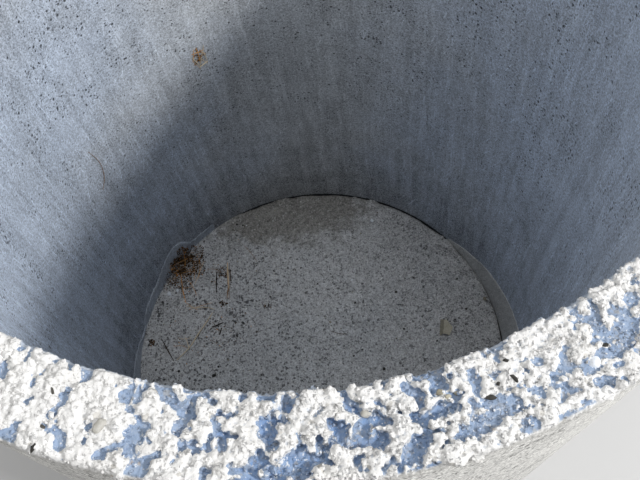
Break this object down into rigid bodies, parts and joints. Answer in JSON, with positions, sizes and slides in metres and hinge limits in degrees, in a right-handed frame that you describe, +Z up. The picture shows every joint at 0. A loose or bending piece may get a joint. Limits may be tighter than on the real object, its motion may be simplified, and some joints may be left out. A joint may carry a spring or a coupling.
{
  "type": "concrete soakaway ring",
  "caption": "Open-topped concrete ring with a plain bore, a rough hand-struck rim and a base poured inside its foot, for a soakaway or pit.",
  "frame": {"origin": "centre of the foot, on the level the ring stands on", "axes": "+Z up along the bore axis, from the foot to the rim; the rim's near side in the picture is towards -Y"},
  "size_m": [1.15, 1.1496, 1.5],
  "materials": {
    "wall_concrete": "as-moulded grey concrete with small blowholes and drag streaks",
    "base_concrete": "coarse floated grey concrete with small pits",
    "rim_concrete": "pale dry open-textured concrete, struck off by hand, with loose lumps of aggregate",
    "mortar": "smeared grey mortar",
    "dry_litter": "dry brown leaf litter, pine needles and straws lying in the ring",
    "loose_stone": "small loose stones and crumbs"
  },
  "bodies": {
    "root": {"ring_wall": "wall_concrete", "base_slab": "base_concrete"}
  },
  "joints": []
}
